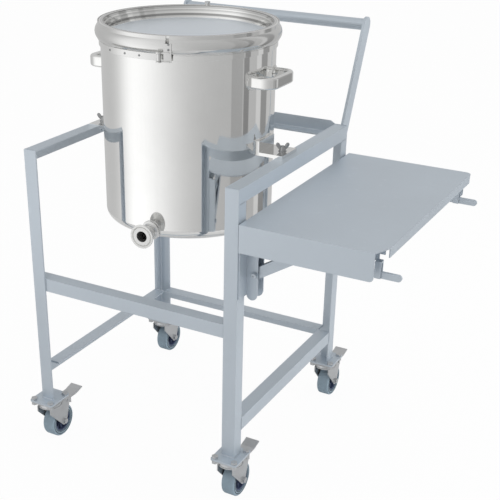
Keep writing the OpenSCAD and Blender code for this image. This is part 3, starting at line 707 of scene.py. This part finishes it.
class CONTAINER_OT_wing_bolts(Step, bpy.types.Operator):
    """Wing bolts with a washer, a turned hub and two thin swept wings"""

    bl_idname = "container.wing_bolts"
    bl_label = "Wing bolts"

    def make(self, finish, detail, studio):
        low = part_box("wing_bolts")[0]
        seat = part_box("rail_bosses")[1][2] + LUG
        x = middle_side("wing_bolts")
        parts = []
        for side in (-1, 1):
            base = np.array([side * x, TANK[1], seat])
            parts.append(disc(base, (0, 0, 1), 0.0085, 0.0016, 0.5))
            hub = [(1e-5, 0.0012), (0.0068, 0.0012), (0.0066, 0.004), (0.0056, 0.0075),
                   (0.0050, 0.0100), (0.0040, 0.0112), (1e-5, 0.0116)]
            parts.append(revolve(hub, base, (0, 0, 1), 40))
            shank = [(1e-5, low[2] - seat), (0.0036, low[2] - seat),
                     (0.004, low[2] - seat + 0.0004), (0.004, 0.002), (1e-5, 0.002)]
            parts.append(revolve(shank, base, (0, 0, 1), 32))
            turn = math.radians(WING_BEARING)
            along = np.array([math.cos(turn), math.sin(turn), 0])
            t = np.linspace(0, 1, 20)[:, None]
            for k in (-1, 1):
                path = (base + k * along * (0.002 + 0.0100 * t ** 0.85)
                        + np.array([0, 0, 1]) * (0.004 + 0.0135 * t ** 1.2))
                wide = (0.0012 + 0.0006 * np.sin(math.pi * t) + 0.0006 * t)[:, 0]
                wide = wide * np.sqrt(np.clip((1.02 - t[:, 0]) / 0.15, 0, 1))
                parts.append(carry(path, wide, sides=20, flat=1.9))
        made = lay("wing_bolts_formed", parts, "container", finish_of("cast_bolts"),
                   angle=60)
        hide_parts("wing_bolts")


def middle_side(node):
    """Distance of a mirrored pair of pieces from the middle plane."""
    points = np.array([v.co[:] for v in frame["nodes"][node].data.vertices])
    right = points[points[:, 0] > 0][:, 0]
    return (right.min() + right.max()) / 2


class CONTAINER_OT_latch_details(Step, bpy.types.Operator):
    """Rivets on the latch's lever and block"""

    bl_idname = "container.latch_details"
    bl_label = "Latch details"

    def make(self, finish, detail, studio):
        lever = middle("latch_lever")
        band_r = (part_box("clamp_band")[1][0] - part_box("clamp_band")[0][0]) / 2

        def stud(bearing, radius, z, size, tall):
            t = math.radians(bearing)
            out = np.array([math.cos(t), math.sin(t), 0])
            return disc(np.array([TANK[0], TANK[1], z]) + out * radius, out, size, tall, 0.8)

        face = band_r + 0.0045
        lay("latch_rivets", [stud(b, face, lever[2], 0.0022, 0.0012)
                             for b in (-110.5, -98.0, -88.0)],
            "latch", finish_of("cast_bolts"))
        block = band_r + 0.0032
        lay("band_rivets", [stud(-70.6, block, lever[2] + rise, 0.0024, 0.0013)
                            for rise in (0.014, 0.024)],
            "container", finish_of("cast_bolts"))


class CONTAINER_OT_pivot_heads(Step, bpy.types.Operator):
    """Domed heads on the pins of the folding brackets"""

    bl_idname = "container.pivot_heads"
    bl_label = "Pivot heads"

    def make(self, finish, detail, studio):
        heads = []
        for x, z in (FOLD_PIN, STRUT_PIN):
            for side in (-1, 1):
                for k in (-1, 1):
                    y = side * (BRACKET_Y + k * PIN_HALF)
                    heads.append(disc((x, y, z), (0, side * k, 0), 0.0062, 0.0028, 0.8))
        lay("pivot_heads", heads, "stand", finish_of("satin_stand"))


class CONTAINER_OT_wheel_details(Step, bpy.types.Operator):
    """Ribs and bearing covers in the hubs, mould rings on the tyres in a very dark finish that
    paints the shade of the tyres' grooves
    """

    bl_idname = "container.wheel_details"
    bl_label = "Wheel details"

    def make(self, finish, detail, studio):
        t = np.linspace(0, TAU, 16, endpoint=False)
        for corner in ("fl", "fr", "rl", "rr"):
            name = CORNER[corner]
            centre = middle("tyre_" + name)
            half = (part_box("tyre_" + name)[1][0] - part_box("tyre_" + name)[0][0]) / 2
            wheel_r = (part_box("tyre_" + name)[1][2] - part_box("tyre_" + name)[0][2]) / 2
            hub_r = wheel_r - 0.012
            ribs, rings = [], []
            for side in (-1, 1):
                axis = np.array([side, 0.0, 0.0])
                for bearing in np.arange(detail.rib_count) * TAU / detail.rib_count:
                    out = np.array([0, math.cos(bearing), math.sin(bearing)])
                    start = centre + axis * 0.0062 + out * 0.0095
                    stop = centre + axis * 0.0062 + out * (hub_r - 0.0035)
                    line = start + np.linspace(0, 1, 6)[:, None] * (stop - start)
                    ribs.append(carry(line, 0.0026, sides=12, flat=0.45))
                cap = [(0.0048, 0.0112), (0.0095, 0.0112), (0.0095, 0.0128), (0.0088, 0.0136),
                       (0.0048, 0.0136)]
                ribs.append(revolve(cap, centre, axis, 40))
                for radius in (wheel_r - 0.0058, hub_r + 0.0016):
                    profile = np.stack([radius + 0.0011 * np.cos(t),
                                        half + 0.0005 * np.sin(t)], axis=1)
                    rings.append(revolve(profile, centre, axis, 72))
            lay("hub_ribs_" + corner, ribs, "wheel_" + corner, finish_of("hub_plastic"),
                angle=50)
            # the tyre rings take the dark finish of painted groove shade
            lay("tyre_rings_" + corner, rings, "wheel_" + corner, finish_of("painted_groove_shade"),
                angle=60)


class CONTAINER_OT_stage(Step, bpy.types.Operator):
    """Pale floor, plain soft light, a screen for the mirror to show, and the camera"""

    bl_idname = "container.stage"
    bl_label = "Stage"

    def make(self, finish, detail, studio):
        self.light(studio)
        self.floor(studio)
        self.surround()
        self.camera()
        bpy.context.scene.view_settings.view_transform = "Standard"

    def light(self, studio):
        world = bpy.data.worlds.new("studio_world")
        bpy.context.scene.world = world
        world.use_nodes = True
        tree = world.node_tree
        back = tree.nodes["Background"]
        back.inputs["Color"].default_value = (1, 1, 1, 1)
        path = tree.nodes.new("ShaderNodeLightPath")
        bright = (Value(tree, path.outputs["Is Camera Ray"])
                  .math("MAXIMUM", Value(tree, path.outputs["Is Glossy Ray"]))
                  .math("MAXIMUM", Value(tree, path.outputs["Is Transmission Ray"])))
        plug(tree, back.inputs["Strength"],
             bright * (1.0 - studio.light_level) + studio.light_level)
        for name, place, power, size in (
                ("side_lamp", (3.0, 1.3, 1.1), studio.key_power, 3.0),
                ("top_lamp", (0.6, -0.8, 3.2), studio.key_power * 0.2, 1.8)):
            lamp = bpy.data.lights.new(name, "AREA")
            lamp.energy = power
            lamp.size = size
            made = bpy.data.objects.new(name, lamp)
            made.location = place
            aim = Vector((0, 0, 0.55)) - Vector(place)
            made.rotation_euler = aim.to_track_quat("-Z", "Y").to_euler()
            bpy.context.scene.collection.objects.link(made)

    def floor(self, studio):
        made = Finish("pale_floor", Base_Color=(*studio.floor_colour, 1), Roughness=0.9)
        tree = made.tree
        glow = tree.nodes.new("ShaderNodeEmission")
        mix = tree.nodes.new("ShaderNodeMixShader")
        path = tree.nodes.new("ShaderNodeLightPath")
        plug(tree, mix.inputs[0], Value(tree, path.outputs["Is Camera Ray"]) * 0.96)
        tree.links.new(made.shader.outputs[0], mix.inputs[1])
        tree.links.new(glow.outputs[0], mix.inputs[2])
        tree.links.new(mix.outputs[0], tree.nodes["Material Output"].inputs[0])
        self.panel("floor", [(-30, -30, 0), (30, -30, 0), (30, 30, 0), (-30, 30, 0)],
                   made.material)

    def surround(self):
        """Round screen, lit from within, that only glossy rays see: straight panels,
        each corner with the grey of its bearing."""
        edges = [edge + k for start, stop, _ in FLAGS for edge, k in (
            (start, -0.5), (start, 0), (stop, 0), (stop, 0.5))]
        places = np.unique(np.concatenate([np.arange(-180, 180, 6.0), edges]))
        greys = screen_grey(places).tolist()
        bearings = np.radians(places)
        ring = SCREEN_R * np.stack([np.cos(bearings), np.sin(bearings)], axis=1)
        points = [(*xy, z) for z in (0.002, SCREEN_H) for xy in ring + TANK[:2]]
        points.append((TANK[0], TANK[1], SCREEN_H + 0.8))
        count = len(ring)
        faces = []
        for k in range(count):
            after = (k + 1) % count
            faces.append((k, after, count + after, count + k))
            faces.append((count + k, count + after, 2 * count))
        mesh = bpy.data.meshes.new("screen")
        mesh.from_pydata(points, [], faces)
        level = mesh.attributes.new("level", "FLOAT", "POINT")
        level.data.foreach_set("value", [g * SCREEN_FOOT for g in greys]
                               + [(g + SCREEN_TOP) / 2 for g in greys] + [SCREEN_TOP])
        made = Finish("screen_glow", Base_Color=(0, 0, 0, 1), Roughness=1.0,
                      Emission_Strength=1.0)
        made.set("Emission Color", made.node("Attribute", {"attribute_name": "level"},
                                             output=2))
        mesh.materials.append(made.material)
        screen = bpy.data.objects.new("screen", mesh)
        bpy.context.scene.collection.objects.link(screen)
        screen.visible_camera = False
        screen.visible_diffuse = False
        screen.visible_shadow = False

    def panel(self, name, corners, finish):
        mesh = bpy.data.meshes.new(name)
        mesh.from_pydata(corners, [], [(0, 1, 2, 3)])
        mesh.materials.append(finish)
        made = bpy.data.objects.new(name, mesh)
        bpy.context.scene.collection.objects.link(made)
        return made

    def camera(self):
        lens = bpy.data.cameras.new("camera")
        lens.sensor_width = 36
        lens.lens = 72.89
        lens.shift_x = 0.0578
        lens.shift_y = 0.1344
        made = bpy.data.objects.new("camera", lens)
        azimuth, elevation, roll = (math.radians(a) for a in (-28.814, 26.17, -0.681))
        forward = np.array([math.sin(azimuth) * math.cos(elevation),
                            math.cos(azimuth) * math.cos(elevation), -math.sin(elevation)])
        right = np.array([math.cos(azimuth), -math.sin(azimuth), 0])
        down = np.cross(forward, right)
        x = math.cos(roll) * right + math.sin(roll) * down
        y = math.sin(roll) * right - math.cos(roll) * down
        made.matrix_world = Matrix([[*row, p] for row, p in zip(
            np.stack([x, y, -forward], axis=1), (1.0879, -1.8404, 1.3222))] + [[0, 0, 0, 1]])
        bpy.context.scene.collection.objects.link(made)
        bpy.context.scene.camera = made


# The round screen: its radius and height, its grey overhead and its share at the foot,
# the bearing and level of its brightest place, and its flags as (start, stop, grey)
SCREEN_R = 1.35
SCREEN_H = 1.9
SCREEN_TOP = 0.62
SCREEN_FOOT = 0.94
PEAK = (-131, 1.30)
FLAGS = ((-6, 10, 0.36), (12, 20, 0.20), (34, 43, 0.68), (44, 60, 0.26))


def screen_grey(bearing):
    """Grey of the screen: base + (peak - base) * exp(-(d / width)^2), d being the
    bearing from the peak, with its own base and width on each side; flags on top."""
    d = (bearing - PEAK[0] + 180) % 360 - 180
    base = np.where(d < 0, 0.58, 0.49)
    grey = base + (PEAK[1] - base) * np.exp(-(d / np.where(d < 0, 24, 58)) ** 2)
    for start, stop, level in FLAGS:
        grey = np.where((bearing >= start) & (bearing <= stop), level, grey)
    return grey


class CONTAINER_PT_panel(bpy.types.Panel):
    """Sizes, colours and steps of the container and its stand"""

    bl_label = "Container and stand"
    bl_idname = "CONTAINER_PT_panel"
    bl_space_type = "VIEW_3D"
    bl_region_type = "UI"
    bl_category = "Container"

    def draw(self, context):
        for group in (context.scene.container_finish, context.scene.container_detail,
                      context.scene.container_studio):
            box = self.layout.box()
            for key in group.__annotations__:
                box.prop(group, key)
        for step in STEPS:
            self.layout.operator(step.bl_idname)


SETTINGS = {"container_finish": FinishSettings, "container_detail": DetailSettings,
            "container_studio": StudioSettings}
STEPS = (CONTAINER_OT_finishes, CONTAINER_OT_stand_welds, CONTAINER_OT_handle_welds,
         CONTAINER_OT_tank_welds, CONTAINER_OT_outlet_seal, CONTAINER_OT_wing_bolts,
         CONTAINER_OT_latch_details, CONTAINER_OT_pivot_heads, CONTAINER_OT_wheel_details,
         CONTAINER_OT_stage)


def register():
    for group in SETTINGS.values():
        bpy.utils.register_class(group)
    for step in STEPS + (CONTAINER_PT_panel,):
        bpy.utils.register_class(step)
    for key, group in SETTINGS.items():
        setattr(bpy.types.Scene, key, PointerProperty(type=group))


def unregister():
    for key in SETTINGS:
        delattr(bpy.types.Scene, key)
    for step in (CONTAINER_PT_panel,) + STEPS[::-1]:
        bpy.utils.unregister_class(step)
    for group in SETTINGS.values():
        bpy.utils.unregister_class(group)


def main():
    register()
    for step in STEPS:
        group, name = step.bl_idname.split(".")
        getattr(getattr(bpy.ops, group), name)()


if __name__ == "__main__":
    main()
